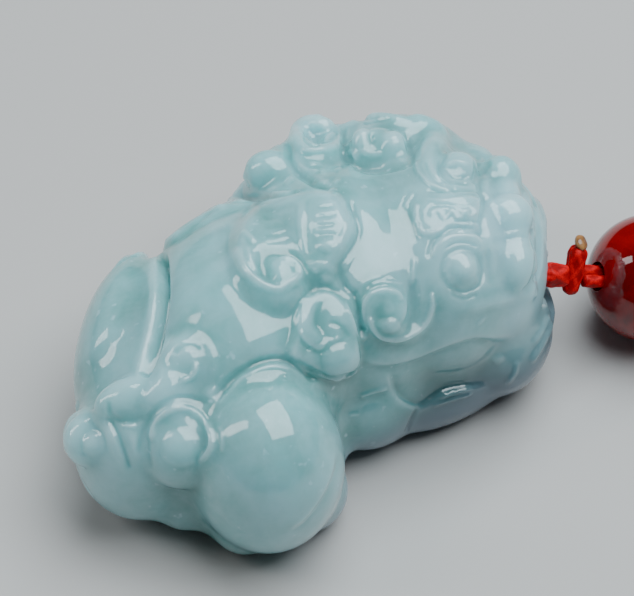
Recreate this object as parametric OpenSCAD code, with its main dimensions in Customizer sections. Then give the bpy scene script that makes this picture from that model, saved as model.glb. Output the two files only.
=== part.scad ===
// A pendant in pale green stone: a curly-maned guardian beast that lies on its belly,
// on a braided red cord with a round red bead and a short loop to hang it by.
// Millimetres. +X points along the body to the head, +Y to its far flank, +Z up,
// and the origin is under the middle of the carving, on the surface it lies on.

/* [Carving] */
// Length of the stone from rump to face
stone_length = 40.2; // [37:0.2:44]
// How far the raised curls are sunk into the body, as a share of their radius
curl_sink = 0.35; // [0.2:0.05:0.6]
// Thickness of the raised curls, compared with the drawing
curl_thickness = 1; // [0.8:0.05:1.2]

/* [Cord and bead] */
// Diameter of the round bead
bead_d = 9.5; // [9:0.1:10.5]
// Diameter of the hole through the bead
bead_hole_d = 2.2; // [2.1:0.1:2.6]
// Diameter of the hanging loop's cord
cord_d = 1; // [0.8:0.1:1]
// Diameter of the wrapped part that leaves the stone
wrap_d = 1.9; // [1.8:0.1:2.4]
// Length of the wrapped part
wrap_length = 1.7; // [1.6:0.1:2.2]
// Thickness of the knot between the wrapped part and the bead
knot_d = 1.5; // [1.3:0.1:1.8]
// Length of bare thread between the knot and the bead
bead_gap = 1.2; // [0.8:0.1:1.4]

/* [Hidden] */

// The carving is drawn at this length, with this point in the middle, and scaled from it
drawn_length = 40.2;
drawn_middle = [-1.64, -0.7, 0];
scaling = stone_length / drawn_length;

// The relief is drawn on flat sheets round the stone, each seen from its own side:
// azimuth and elevation of the carver's eye. The near flank comes first, then the far one.
SHEETS = [[-35, 52], [180, 10]];
near = 0;
far = 1;
sheet_centre = [0.6, 0.8, 8.5];
eye_distance = 300;

// Body forms: name, centre [x, y, z], radii [along, across, up], turn about Z, facets
LOBES = [
    ["torso", [-5.2, 0.8, 8.4], [11, 8.8, 8.4], 18, 26],
    ["belly", [-2.6, 0.4, 3], [12, 6.2, 4], 4, 24],
    ["shoulder", [2.5, 0.4, 8.8], [8.8, 9.2, 8.6], -5, 24],
    ["far_shoulder", [4.2, 7.4, 9.2], [5, 5, 6.2], -10, 20],
    ["head", [9, -1.8, 9.2], [7.4, 8.8, 8], -35, 24],
    ["far_mane", [11.5, 5.9, 9], [6, 4.6, 5.8], -30, 20],
    ["far_cheek", [14.2, 1.6, 8.2], [4.4, 4.4, 5.9], -35, 16],
    ["muzzle", [13.2, -4, 8.5], [4, 6.9, 6.5], -35, 24],
    ["jaw", [11.8, -6.2, 4.4], [4.2, 5.6, 4.6], -35, 20],
    ["near_paw", [6.4, -7.8, 3.2], [6.2, 2.6, 3.4], -5, 16],
    ["near_elbow", [0.8, -6.2, 4.2], [4.6, 3.4, 4.4], 0, 16],
    ["far_paw", [12, 6.4, 3.2], [5.4, 2.6, 3.4], -30, 16],
    ["far_elbow", [3.6, 8, 4], [4.6, 3.4, 4.2], 0, 16],
    ["near_haunch", [-10.2, -8.4, 7], [5.6, 6, 7.2], -30, 24],
    ["near_heel", [-12.6, -8.4, 3.2], [2.6, 3.2, 3.6], 0, 16],
    ["near_ankle", [-14.9, -5.1, 3.4], [2.6, 2.4, 3.2], 0, 12],
    ["near_hind_foot", [-7.6, -8.9, 2.6], [3.4, 3.6, 3], 0, 16],
    ["far_haunch", [-12.8, 5.8, 7], [7.4, 3.4, 6.4], 42, 24],
    ["far_hind_foot", [-8.6, 8, 2.8], [3.6, 2.8, 3], 40, 16],
    ["rump", [-16.4, -1.5, 6.2], [4.8, 4.8, 6.2], 0, 24],
    ["tail_root", [-13.8, -1.9, 9], [4.5, 3.8, 5.5], 0, 20],
    ["far_curl_boss", [7.4, 10.3, 11.2], [2.4, 2.2, 2.6], 0, 12],
    ["tail_curl_boss", [-19.3, 0.2, 7.5], [2, 2, 2.3], 0, 12],
];

// Low rounded pads under the relief: name, sheet, centre on it, radii [right, up, out], turn, sink
PADS = [
    ["near_wing", near, [-1.3, 5], [4.1, 2.7, 1.7], 5, 1],
    ["middle_curl", near, [0.6, -1.9], [2.2, 2.4, 1.4], 0, 0.9],
    ["middle_curl_foot", near, [0.8, -4.2], [2.1, 1.4, 1.2], 0, 0.8],
    ["cheek_curl", near, [5.2, -1.1], [1.8, 1.9, 1.3], 0, 0.9],
    ["far_front_curl", near, [4.5, 11.2], [2, 1.6, 1.3], 0, 0.8],
    ["forehead", near, [9.7, 6.1], [2.5, 1.2, 1.2], 0, 0.8],
    ["near_eye", near, [10.6, 2.1], [1.25, 1.25, 1.2], 0, 0.5],
    ["far_eye", near, [10.2, 9.3], [1.3, 1.2, 1.2], 0, 0.5],
    ["nose_far", near, [13.5, 8.8], [1.35, 1.5, 1.6], 0, 0.7],
    ["nose_middle", near, [13.8, 5.8], [1.5, 1.7, 1.7], 0, 0.7],
    ["nose_near", near, [14.3, 2.3], [1.45, 2, 1.6], 0, 0.8],
    ["tail_near_curl", near, [-9.6, -10.5], [2.8, 2.9, 1.8], 0, 1.1],
    ["tail_far_curl", near, [-16.6, -10.2], [1.6, 1.9, 1.4], 0, 0.8],
    ["tail_top_curl", near, [-9.5, -4.5], [2.1, 2.1, 1.3], 0, 0.8],
    ["far_shoulder_curl", far, [-4, -2.6], [1.7, 1.6, 1.2], 0, 0.7],
    ["far_cheek_curl", far, [-12.5, -1.8], [1.4, 1.4, 1.2], 0, 0.7],
];

// Raised bands: name, sheet, radius at the start, radius at the end, points on the sheet
BANDS = [
    ["near_wing_curl", near, 0.8, 0.9, [[-5, 4.6], [-5.3, 3.2], [-5.1, 1.8], [-4.4, 0.6],
        [-3.3, -0.2], [-2.1, -0.1], [-1.4, 0.8], [-1.6, 1.8], [-2.6, 1.5]]],
    ["middle_curl", near, 0.6, 0.4, [[2.7, -4.4], [2.7, -3.2], [2.3, -1.9], [1.7, -0.8],
        [0.7, -0.3], [-0.4, -0.6], [-1.1, -1.6], [-0.8, -2.7], [0.1, -3.1], [1.1, -2.8]]],
    ["cheek_curl", near, 0.5, 0.7, [[8.1, 0.9], [8.2, -0.6], [7.6, -2], [6.4, -2.7], [5, -2.6],
        [4, -1.8], [3.8, -0.6], [4.4, 0.2], [5.4, 0.1], [5.9, -0.8], [5.3, -1.9]]],
    ["far_back_curl", near, 0.55, 0.6, [[2, 11.4], [1, 10.7], [-0.3, 10.6], [-1.3, 11.3],
        [-1.3, 12.2], [-0.5, 12.7], [0.6, 12.6], [0.8, 12]]],
    ["far_front_curl", near, 0.6, 0.8, [[4.4, 12.6], [3.3, 12], [2.9, 11.2], [3.4, 10.4],
        [4.6, 10.1], [5.7, 10.4], [5.9, 11.2], [5.1, 11.3]]],
    ["far_crest", near, 0.5, 0.6, [[2.6, 12.5], [3.4, 12.9], [4.6, 13], [5.8, 12.8]]],
    ["far_horn", near, 1, 0.5, [[6.8, 12.3], [8.1, 11.9], [8.6, 11.2], [8, 10.2], [7.9, 9.3],
        [8.6, 8.4], [9.8, 7.9], [11.2, 7.9]]],
    ["near_brow", near, 0.4, 0.4, [[8.6, 2.6], [8.9, 3.7], [9.9, 4.4], [11.2, 4.4], [12.2, 3.8],
        [12.7, 2.8]]],
    ["tail_near_curl", near, 0.5, 0.9, [[-12, -10.8], [-11.9, -9.4], [-11, -8.3], [-9.6, -7.9],
        [-8.2, -8.4], [-7.2, -9.7], [-7.2, -11.2], [-8, -12.3], [-9.4, -12.3], [-9.9, -10.8]]],
    ["tail_far_curl", near, 0.45, 0.5, [[-14, -12.4], [-14.7, -10.6], [-15.4, -9.1], [-16.5, -8.4],
        [-17.5, -8.9], [-17.7, -10.2], [-17.2, -11.3], [-16.2, -11.2], [-16.1, -10.3]]],
    ["tail_top_curl", near, 0.5, 0.4, [[-11.7, -4.6], [-10.9, -3.3], [-9.8, -2.7], [-8.6, -2.9],
        [-7.8, -3.9], [-7.5, -5.2], [-7.8, -6.5]]],
    ["tail_stem", near, 0.9, 0.5, [[-14, -8], [-13.2, -7.2], [-11.6, -6.9], [-10, -6.4], [-9, -5.6],
        [-9.2, -4.6]]],
    ["tail_strand", near, 0.4, 0.3, [[-13.8, -8.8], [-13.3, -10.2], [-12.9, -11.8]]],
    ["lip", near, 0.45, 0.3, [[10.6, -0.8], [12, -0.4], [13.6, -0.1], [15, 0]]],
    ["far_shoulder_curl", far, 0.6, 0.8, [[-1.4, -1.1], [-1.3, -2.8], [-2.2, -4.3], [-3.8, -4.9],
        [-5.5, -4.2], [-6.1, -2.7], [-5.6, -1.2], [-4.3, -0.6], [-3.1, -1.1], [-2.9, -2.3]]],
    ["far_cheek_curl", far, 0.5, 0.7, [[-9.9, -0.4], [-10, -2], [-11, -3.4], [-12.6, -3.9],
        [-14, -3], [-14.5, -1.6], [-13.8, -0.3], [-12.5, -0.1], [-11.7, -1.1]]],
];

// Where the cord leaves the face, and its heading from there to the bead, which lies on the
// same surface as the stone
cord_seat = ([15.6, -6.8, 8.2] - drawn_middle) * scaling;
cord_heading = -18;
knot_slab = knot_d - 0.1;
bead_reach = wrap_length + knot_slab + bead_gap + bead_d / 2;
cord_drop = asin((cord_seat.z - bead_d / 2) / bead_reach);

// The drill hole in the face, and the tail of the cord that fills it
drill_d = 1.8;
drill_depth = 3;
drill_clearance = 0.1;
seat_margin = 0.3;
round_facets = 32;

// The knot is a short thick strand across the cord
knot_below = 0.9;
knot_above = 2.6;
knot_turn = -27;

// The thread through the bead comes this close to the wall of its hole
thread_d = bead_hole_d - 0.1;
strand_gap = cord_d;
straight_start = 1.5;
cord_sides = 8;

// The hanging loop lies in front of the bead: [along the heading, across it, height], as laid out
LOOP_ROUTE = [
    [3.6, 0.9, 1.9], [5.6, 1.5, 1.1], [7.8, 2.2, 0.6], [10.2, 2.9, 0.5], [12.7, 3.6, 0.5],
    [15.2, 4.1, 0.5], [17.7, 4.4, 0.5], [20.2, 4.3, 0.5], [22.6, 3.7, 0.5], [24.7, 2.5, 0.5],
    [25.9, 0.6, 0.5], [25.9, -1.6, 0.5], [24.6, -3.4, 0.5], [22.4, -4.5, 0.5], [20, -4.8, 0.5],
    [17.5, -4.6, 0.5], [15, -4.1, 0.5], [12.5, -3.5, 0.5], [10.1, -2.8, 0.5], [7.8, -2.1, 0.6],
    [5.6, -1.4, 1.1], [3.6, -0.9, 1.9],
];

jade_colour = [0.62, 0.78, 0.76];
cord_colour = [0.85, 0.05, 0.08];
bead_colour = [0.5, 0.02, 0.03];

function turned(v, a) = [v.x * cos(a) - v.y * sin(a), v.x * sin(a) + v.y * cos(a), v.z];
function shrunk(v, r) = [v.x / r.x, v.y / r.y, v.z / r.z];
function unit(v) = v / norm(v);
function outward(s) =
    let (a = SHEETS[s][0], e = SHEETS[s][1]) [sin(a) * cos(e), -cos(a) * cos(e), sin(e)];
function rightward(s) = [cos(SHEETS[s][0]), sin(SHEETS[s][0]), 0];
function upward(s) = cross(outward(s), rightward(s));
function eye(s) = sheet_centre + outward(s) * eye_distance;

// The line of sight from a sheet's eye through a point of the sheet
function sight(s, at) =
    unit(sheet_centre + rightward(s) * at.x + upward(s) * at.y - eye(s));
// How wide of a body form that line passes, and how far along it the form is met
function meeting(s, way, lobe) =
    let (o = shrunk(turned(eye(s) - lobe[1], -lobe[3]), lobe[2]),
        d = shrunk(turned(way, -lobe[3]), lobe[2]),
        a = d * d, b = o * d, q = b * b - a * (o * o - 1))
    q < 0 ? [-q / a, -b / a] : [0, (-b - sqrt(q)) / a];
// The point of the stone under a point of a sheet, or on the nearest rim where there is none
function on_stone(s, at) =
    let (way = sight(s, at), found = [for (lobe = LOBES) meeting(s, way, lobe)],
        miss = min([for (m = found) m[0]]),
        reach = min([for (m = found) if (m[0] == miss) m[1]]))
    eye(s) + way * reach;

module lobe(row) {
    translate(row[1]) rotate([0, 0, row[3]]) scale(row[2]) sphere(r = 1, $fn = row[4]);
}

module pad(row) {
    s = row[1];
    middle = on_stone(s, row[2]) + sight(s, row[2]) * row[5];
    right = rightward(s);
    up = upward(s);
    out = outward(s);
    multmatrix([[right.x, up.x, out.x, middle.x], [right.y, up.y, out.y, middle.y],
        [right.z, up.z, out.z, middle.z], [0, 0, 0, 1]])
        rotate([0, 0, row[4]]) scale(row[3]) sphere(r = 1, $fn = 12);
}

module band(row) {
    s = row[1];
    points = row[4];
    last = len(points) - 1;
    radii = [for (i = [0:last]) curl_thickness * (row[2] + (row[3] - row[2]) * i / last)];
    for (i = [0:last - 1])
        hull() {
            for (j = [i, i + 1])
                translate(on_stone(s, points[j]) + sight(s, points[j]) * radii[j] * curl_sink)
                    sphere(r = radii[j], $fn = 8);
        }
}

// Moves its children to the seat of the cord in the face, with +Z along the cord
module along_cord(reach = 0) {
    translate(cord_seat) rotate([0, 90 + cord_drop, cord_heading]) translate([0, 0, reach]) children();
}

module jade_beast() {
    color(jade_colour)
        difference() {
            scale(scaling) translate(-drawn_middle) {
                for (row = LOBES) lobe(row);
                for (row = PADS) pad(row);
                for (row = BANDS) band(row);
            }
            // The flat base that the stone lies on
            translate([0, 0, -50]) cube(100, center = true);
            // The drill hole, and a flat round its mouth for the wrapped cord
            along_cord(-drill_depth) cylinder(d = drill_d, h = drill_depth + 1, $fn = round_facets);
            along_cord() cylinder(d = wrap_d + seat_margin, h = wrap_length, $fn = round_facets);
        }
}

module cord_wrap() {
    color(cord_colour) {
        along_cord() cylinder(d = wrap_d, h = wrap_length, $fn = round_facets);
        along_cord(drill_clearance - drill_depth)
            cylinder(d = drill_d - 2 * drill_clearance, h = drill_depth, $fn = round_facets);
    }
}

module cord_knot() {
    color(cord_colour)
        along_cord(wrap_length + knot_slab / 2)
            rotate([0, 0, knot_turn]) intersection() {
                rotate([0, -90, 0]) union() {
                    translate([0, 0, -knot_below])
                        cylinder(d = knot_d, h = knot_below + knot_above, $fn = round_facets);
                    translate([0, 0, -knot_below]) sphere(d = knot_d, $fn = round_facets);
                    translate([0, 0, knot_above]) sphere(d = knot_d, $fn = round_facets);
                }
                cube([20, 20, knot_slab], center = true);
            }
}

module bead() {
    color(bead_colour)
        difference() {
            along_cord(bead_reach) sphere(d = bead_d, $fn = 64);
            along_cord(bead_reach - bead_d)
                cylinder(d = bead_hole_d, h = 2 * bead_d, $fn = round_facets);
        }
}

module bead_thread() {
    color(cord_colour)
        along_cord(wrap_length + knot_slab)
            cylinder(d = thread_d, h = bead_gap + bead_d, $fn = round_facets);
}

// The way the cord points where it leaves the bead, and the far end of the thread
cord_way = turned([cos(cord_drop), 0, -sin(cord_drop)], cord_heading);
thread_end = cord_seat + cord_way * (bead_reach + bead_d / 2);
across = turned([0, 1, 0], cord_heading);

// The two ends of the loop leave the thread side by side, straight on at first
function loop_end(side, reach) = thread_end + across * side * strand_gap / 2 + cord_way * reach;
function laid(p) =
    [thread_end.x, thread_end.y, 0] + turned([p.x, p.y, 0], cord_heading) + [0, 0, p.z];
loop_points = concat([loop_end(1, 0), loop_end(1, straight_start)],
    [for (p = LOOP_ROUTE) laid(p)], [loop_end(-1, straight_start), loop_end(-1, 0)]);

function ring(p, way, r, sides) =
    let (side = unit(cross(way, [0, 0, 1])), top = cross(side, way))
    [for (i = [0:sides - 1]) let (a = (i + 0.5) * 360 / sides) p + side * r * cos(a) + top * r * sin(a)];

// A closed tube of one thickness swept along points
module tube(points, r, sides) {
    last = len(points) - 1;
    ways = [for (i = [0:last]) unit(points[min(i + 1, last)] - points[max(i - 1, 0)])];
    polyhedron(
        points = [for (i = [0:last]) each ring(points[i], ways[i], r, sides)],
        faces = concat(
            [[for (j = [sides - 1:-1:0]) j]],
            [for (i = [0:last - 1], j = [0:sides - 1]) let (k = (j + 1) % sides)
                [i * sides + j, i * sides + k, (i + 1) * sides + k, (i + 1) * sides + j]],
            [[for (j = [0:sides - 1]) last * sides + j]]));
}

module hanging_loop() {
    color(cord_colour) tube(loop_points, cord_d / 2, cord_sides);
}

jade_beast();
cord_wrap();
cord_knot();
bead();
bead_thread();
hanging_loop();
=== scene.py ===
import math
import bmesh
import bpy
import numpy as np
from mathutils import Matrix, Vector
from mathutils.bvhtree import BVHTree


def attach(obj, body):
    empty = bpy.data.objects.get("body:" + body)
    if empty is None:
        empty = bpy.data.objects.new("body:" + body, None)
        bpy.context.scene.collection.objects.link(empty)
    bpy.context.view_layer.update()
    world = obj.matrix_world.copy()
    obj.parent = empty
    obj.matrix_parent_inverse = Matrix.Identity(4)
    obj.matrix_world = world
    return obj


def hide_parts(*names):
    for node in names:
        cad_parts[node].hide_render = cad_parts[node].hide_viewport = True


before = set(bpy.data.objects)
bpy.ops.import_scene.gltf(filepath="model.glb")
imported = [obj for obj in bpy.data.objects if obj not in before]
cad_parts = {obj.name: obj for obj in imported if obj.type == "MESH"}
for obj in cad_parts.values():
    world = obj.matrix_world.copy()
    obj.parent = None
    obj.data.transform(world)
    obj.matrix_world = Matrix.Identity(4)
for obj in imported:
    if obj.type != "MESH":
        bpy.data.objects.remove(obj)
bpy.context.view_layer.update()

mm = 0.001
drawnMiddle = np.array([-1.64, -0.7, 0.0])  # the carving is drawn round this point, as in the solids


# Small helpers

def deselect():
    bpy.ops.object.select_all(action="DESELECT")


def pick(piece):
    deselect()
    piece.select_set(True)
    bpy.context.view_layer.objects.active = piece


def applyModifier(piece, kind, **settings):
    pick(piece)
    modifier = piece.modifiers.new(kind.title(), kind)
    for name, value in settings.items():
        setattr(modifier, name, value)
    bpy.ops.object.modifier_apply(modifier=modifier.name)


def joined(pieces, name):
    deselect()
    for piece in pieces:
        piece.select_set(True)
    bpy.context.view_layer.objects.active = pieces[0]
    bpy.ops.object.join()
    whole = bpy.context.view_layer.objects.active
    whole.name = name
    return whole


def settle(piece):
    pick(piece)
    bpy.ops.object.transform_apply(location=True, rotation=True, scale=True)
    return piece


def corners(mesh):
    co = np.empty(len(mesh.vertices) * 3, np.float64)
    mesh.vertices.foreach_get("co", co)
    return co.reshape(-1, 3)


def cornerNormals(mesh):
    normals = np.empty(len(mesh.vertices) * 3)
    mesh.vertices.foreach_get("normal", normals)
    return normals.reshape(-1, 3)


def setCorners(mesh, co):
    mesh.vertices.foreach_set("co", co.astype(np.float32).ravel())
    mesh.update()


def meshPiece(name, points, faces):
    mesh = bpy.data.meshes.new(name)
    mesh.from_pydata([tuple(p) for p in points], [], faces)
    mesh.update()
    piece = bpy.data.objects.new(name, mesh)
    bpy.context.scene.collection.objects.link(piece)
    return piece


def smoothPath(points, steps=6):
    # A Catmull-Rom curve through the points, with steps spans between each two
    p = np.asarray(points, float)
    p = np.vstack([2 * p[0] - p[1], p, 2 * p[-1] - p[-2]])
    out = []
    for i in range(1, len(p) - 2):
        for k in range(steps):
            t = k / steps
            out.append(0.5 * (2 * p[i] + (p[i + 1] - p[i - 1]) * t
                              + (2 * p[i - 1] - 5 * p[i] + 4 * p[i + 1] - p[i + 2]) * t * t
                              + (3 * p[i] - p[i - 1] - 3 * p[i + 1] + p[i + 2]) * t * t * t))
    out.append(p[-2])
    return np.array(out)


# Camera: the photograph's long lens, looking down on the near flank. The width is what it takes in there.
view = {
    "azimuth": -35, "elevation": 52, "distance": 300, "width": 46, "aim": (0.6, 0.8, 8.5), "sensor": 36,
}


def sheetAxes(azimuth, elevation):
    a, e = math.radians(azimuth), math.radians(elevation)
    out = np.array([math.sin(a) * math.cos(e), -math.cos(a) * math.cos(e), math.sin(e)])
    right = np.array([math.cos(a), math.sin(a), 0.0])
    return right, np.cross(out, right), out


def addCamera():
    right, up, out = sheetAxes(view["azimuth"], view["elevation"])
    spot = (np.array(view["aim"]) - drawnMiddle + out * view["distance"]) * mm
    data = bpy.data.cameras.new("camera")
    data.sensor_width = view["sensor"]
    data.lens = view["sensor"] * view["distance"] / view["width"]
    data.clip_start = 0.01
    camera = bpy.data.objects.new("camera", data)
    bpy.context.scene.collection.objects.link(camera)
    turn = Matrix((right, up, out)).transposed().to_4x4()
    camera.matrix_world = Matrix.Translation(Vector(spot)) @ turn
    bpy.context.scene.camera = camera


addCamera()
print("camera placed")


# The cord's line: out of the drill hole, through the bead, and round the hanging loop
cord = {
    "seat": (15.6, -6.8, 8.2), "heading": -18, "wrapLength": 1.7, "knot": 1.4, "beadGap": 1.2, "bead": 9.5,
    "strand": 1.0, "straight": 1.5, "curveSteps": 8, "ringStep": 0.1,
}
cordBraid = {"thickness": cord["strand"], "pitch": 1.3, "depth": 0.085, "sides": 20}
loopRoute = [
    (3.6, 0.9, 1.9), (5.6, 1.5, 1.1), (7.8, 2.2, 0.6), (10.2, 2.9, 0.5), (12.7, 3.6, 0.5),
    (15.2, 4.1, 0.5), (17.7, 4.4, 0.5), (20.2, 4.3, 0.5), (22.6, 3.7, 0.5), (24.7, 2.5, 0.5),
    (25.9, 0.6, 0.5), (25.9, -1.6, 0.5), (24.6, -3.4, 0.5), (22.4, -4.5, 0.5), (20, -4.8, 0.5),
    (17.5, -4.6, 0.5), (15, -4.1, 0.5), (12.5, -3.5, 0.5), (10.1, -2.8, 0.5), (7.8, -2.1, 0.6),
    (5.6, -1.4, 1.1), (3.6, -0.9, 1.9),
]
cordSeat = np.array(cord["seat"]) - drawnMiddle
beadReach = cord["wrapLength"] + cord["knot"] + cord["beadGap"] + cord["bead"] / 2
cordDrop = math.asin((cordSeat[2] - cord["bead"] / 2) / beadReach)


def headed(x, y, z):
    a = math.radians(cord["heading"])
    return np.array([x * math.cos(a) - y * math.sin(a), x * math.sin(a) + y * math.cos(a), z])


cordWay = headed(math.cos(cordDrop), 0, -math.sin(cordDrop))
cordAcross = headed(0, 1, 0)
cordUp = np.cross(cordWay, cordAcross)
threadEnd = cordSeat + cordWay * (beadReach + cord["bead"] / 2)


def loopPath():
    start = [threadEnd + cordAcross * side * cord["strand"] / 2 + cordWay * reach
             for side in (1, -1) for reach in (0, cord["straight"])]
    laid = [np.array([threadEnd[0], threadEnd[1], 0]) + headed(*p) for p in loopRoute]
    return np.array(start[:2] + laid + start[:1:-1])


def onFloor(path, thickness):
    # The path kept so high that a cord on it touches the floor and doesn't sink in
    path[:, 2] = np.maximum(path[:, 2], thickness / 2)
    return path


def runAlong(path):
    # How far along the path each of its points is
    return np.concatenate([[0], np.cumsum(np.linalg.norm(np.diff(path, axis=0), axis=1))])


def spaced(path, step):
    # The path again, with points a step apart
    run = runAlong(path)
    marks = np.linspace(0, run[-1], max(2, int(round(run[-1] / step)) + 1))
    return np.stack([np.interp(marks, run, path[:, k]) for k in range(3)], 1)


def braidedTube(name, path, braid, widths=None):
    # A round braid: two sets of strands wind round the path in opposite ways, over and under
    sides, strands = braid["sides"], 4
    ways = np.gradient(path, axis=0)
    ways /= np.linalg.norm(ways, axis=1, keepdims=True)
    side = np.cross(ways[0], (0.1, 0, 1))
    run, points, heights = 0.0, [], []
    for i, spot in enumerate(path):
        side = side - ways[i] * side.dot(ways[i])
        side = side / np.linalg.norm(side)
        top = np.cross(side, ways[i])
        width = braid["thickness"] * (1 if widths is None else widths[i])
        if i:
            run += np.linalg.norm(spot - path[i - 1])
        for k in range(sides):
            a = 2 * math.pi * k / sides
            turn = 2 * math.pi * run / braid["pitch"]
            over = 0.5 + 0.5 * math.cos(strands * a) * math.cos(turn)
            ridge = max(math.cos(strands * a + turn) * over, math.cos(strands * a - turn) * (1.2 - over))
            radius = width / 2 - braid["depth"] * (1 - ridge) / 2
            heights.append(0.5 + ridge / 2)
            points.append((spot + side * radius * math.cos(a) + top * radius * math.sin(a)) * mm)
    rings = len(path)
    faces = [(i * sides + k, i * sides + (k + 1) % sides,
              (i + 1) * sides + (k + 1) % sides, (i + 1) * sides + k)
             for i in range(rings - 1) for k in range(sides)]
    faces.append(tuple(range(sides))[::-1])
    faces.append(tuple((rings - 1) * sides + k for k in range(sides)))
    tube = meshPiece(name, points, faces)
    # The ridge height is kept for the cord's painted shade in its grooves and painted highlight on its
    # ridges
    tube.data.attributes.new("ridge", "FLOAT", "POINT").data.foreach_set("value", heights)
    bm = bmesh.new()
    bm.from_mesh(tube.data)
    bmesh.ops.recalc_face_normals(bm, faces=bm.faces)
    bm.to_mesh(tube.data)
    bm.free()
    tube.data.shade_smooth()
    return tube


def addLoop():
    path = spaced(smoothPath(loopPath(), cord["curveSteps"]), cord["ringStep"])
    path = onFloor(path, cord["strand"])
    loop = braidedTube("hangingLoopBraid", path, cordBraid)
    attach(loop, "root")
    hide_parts("hanging_loop")
    return loop


loopPiece = addLoop()
print("hanging loop laid")


# The wrapped cord at the face, the knot's strands and the doubled cord through the bead
wrapBraid = {
    "thickness": 1.9, "pitch": 2.3, "depth": 0.22, "sides": 48, "ringStep": 0.05, "stem": 1.55,
    "stemLength": 2.9, "rim": 0.35, "rimWidth": 0.82, "rimRise": 0.18,
}
knotBraid = {
    "thickness": 1.4, "pitch": 1.7, "depth": 0.12, "sides": 40, "ringStep": 0.05, "below": 0.85,
    "above": 2.35, "turn": -27, "tail": 0.65, "bulge": 0.06,
}
knotBack = {
    "thickness": 1.1, "pitch": 1.7, "depth": 0.12, "sides": 40, "behind": 0.25, "sunk": (0.5, 0.55, 0.4),
    "raised": (0, 0.9, 1.9), "headDrop": 0.25,
}
tipShape = {"radius": 0.6, "lumps": 0.09, "squash": (1.0, 0.9, 0.62), "lift": 0.25}


def alongCord(reach, across=0.0):
    return cordSeat + cordWay * reach + cordAcross * across


def roundedEnds(path, thickness):
    # Widths along a strand that close it with a half round at both ends
    run = runAlong(path)
    t = np.clip(1 - np.minimum(run, run[-1] - run) / (thickness / 2), 0, 0.995)
    return np.sqrt(1 - t * t)


def addWrap():
    ends = [alongCord(-wrapBraid["stemLength"]), alongCord(cord["wrapLength"])]
    path = spaced(np.array(ends), wrapBraid["ringStep"])
    reach = (path - cordSeat) @ cordWay
    edge = np.clip(np.minimum(reach, cord["wrapLength"] - reach) / wrapBraid["rim"], 0, 1)
    widths = wrapBraid["rimWidth"] + wrapBraid["rimRise"] * np.sqrt(1 - (1 - edge) ** 2)
    widths[reach < 0.02] = wrapBraid["stem"] / wrapBraid["thickness"]  # the stem, inside the stone
    wrap = braidedTube("wrappedCord", path, wrapBraid, widths)
    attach(wrap, "root")
    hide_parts("cord_wrap")
    return wrap


def addKnot():
    turn = math.radians(knotBraid["turn"])
    middle = alongCord(cord["wrapLength"] + cord["knot"] / 2)
    lean = cordUp * math.cos(turn) - cordAcross * math.sin(turn)
    foot, head = middle - lean * knotBraid["below"], middle + lean * knotBraid["above"]
    bulge = (foot + head) / 2 + cordWay * knotBraid["bulge"]
    front = spaced(smoothPath([foot - lean * knotBraid["tail"], foot, bulge, head]), knotBraid["ringStep"])
    strand = braidedTube("knotStrand", front, knotBraid, roundedEnds(front, knotBraid["thickness"]))
    away = middle - cordWay * knotBack["behind"]
    out = sheetAxes(view["azimuth"], view["elevation"])[2]
    back = [away - out * sunk + lean * raised for sunk, raised in zip(knotBack["sunk"], knotBack["raised"])]
    back.append(head - lean * knotBack["headDrop"])
    back = spaced(smoothPath(back), knotBraid["ringStep"])
    behind = braidedTube("knotBack", back, knotBack, roundedEnds(back, knotBack["thickness"]))
    knot = joined([strand, behind], "knotStrands")
    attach(knot, "root")
    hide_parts("cord_knot")
    return knot, head, lean


def addTip(head, lean):
    # The melted end of the cord, drawn out a little
    bpy.ops.mesh.primitive_uv_sphere_add(segments=32, ring_count=20, radius=tipShape["radius"] * mm)
    tip = bpy.context.active_object
    tip.name = "meltedTip"
    co = corners(tip.data) / mm
    lump = 1 + tipShape["lumps"] * np.sin(co[:, 0] * 6) * np.cos(co[:, 1] * 5 + co[:, 2] * 4)
    co = co * lump[:, None] * np.array(tipShape["squash"])
    place = np.array([cordAcross, np.cross(lean, cordAcross), lean])
    setCorners(tip.data, (co @ place + head + lean * tipShape["lift"]) * mm)
    tip.data.shade_smooth()
    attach(tip, "root")
    return tip


def addThread():
    made = []
    reaches = (cord["wrapLength"] + cord["knot"], beadReach + cord["bead"] / 2)
    for side in (1, -1):
        ends = [alongCord(reach, side * cord["strand"] / 2) for reach in reaches]
        made.append(braidedTube("thread", spaced(np.array(ends), cord["ringStep"]), cordBraid))
    thread = joined(made, "beadThreads")
    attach(thread, "root")
    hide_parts("bead_thread")
    return thread


bead = {"hole": 2.2, "rim": 0.16, "segments": 96, "rings": 64}


def addBead():
    bpy.ops.mesh.primitive_uv_sphere_add(segments=bead["segments"], ring_count=bead["rings"],
                                         radius=cord["bead"] / 2 * mm)
    ball = bpy.context.active_object
    ball.name = "polishedBead"
    bpy.ops.mesh.primitive_cylinder_add(vertices=bead["segments"], radius=bead["hole"] / 2 * mm,
                                        depth=2 * cord["bead"] * mm)
    drill = bpy.context.active_object
    applyModifier(ball, "BOOLEAN", operation="DIFFERENCE", object=drill, solver="EXACT")
    bpy.data.objects.remove(drill)
    applyModifier(ball, "BEVEL", width=bead["rim"] * mm, segments=4, limit_method="ANGLE",
                  angle_limit=math.radians(40))
    place = Matrix((cordAcross, np.cross(cordWay, cordAcross), cordWay)).transposed().to_4x4()
    place.translation = Vector(alongCord(beadReach) * mm)
    ball.matrix_world = place
    settle(ball)
    ball.data.shade_smooth()
    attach(ball, "root")
    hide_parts("bead")
    return ball


wrapPiece = addWrap()
knotPiece, knotHead, knotLean = addKnot()
tipPiece = addTip(knotHead, knotLean)
threadPiece = addThread()
beadPiece = addBead()
print("cord and bead made")


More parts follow.
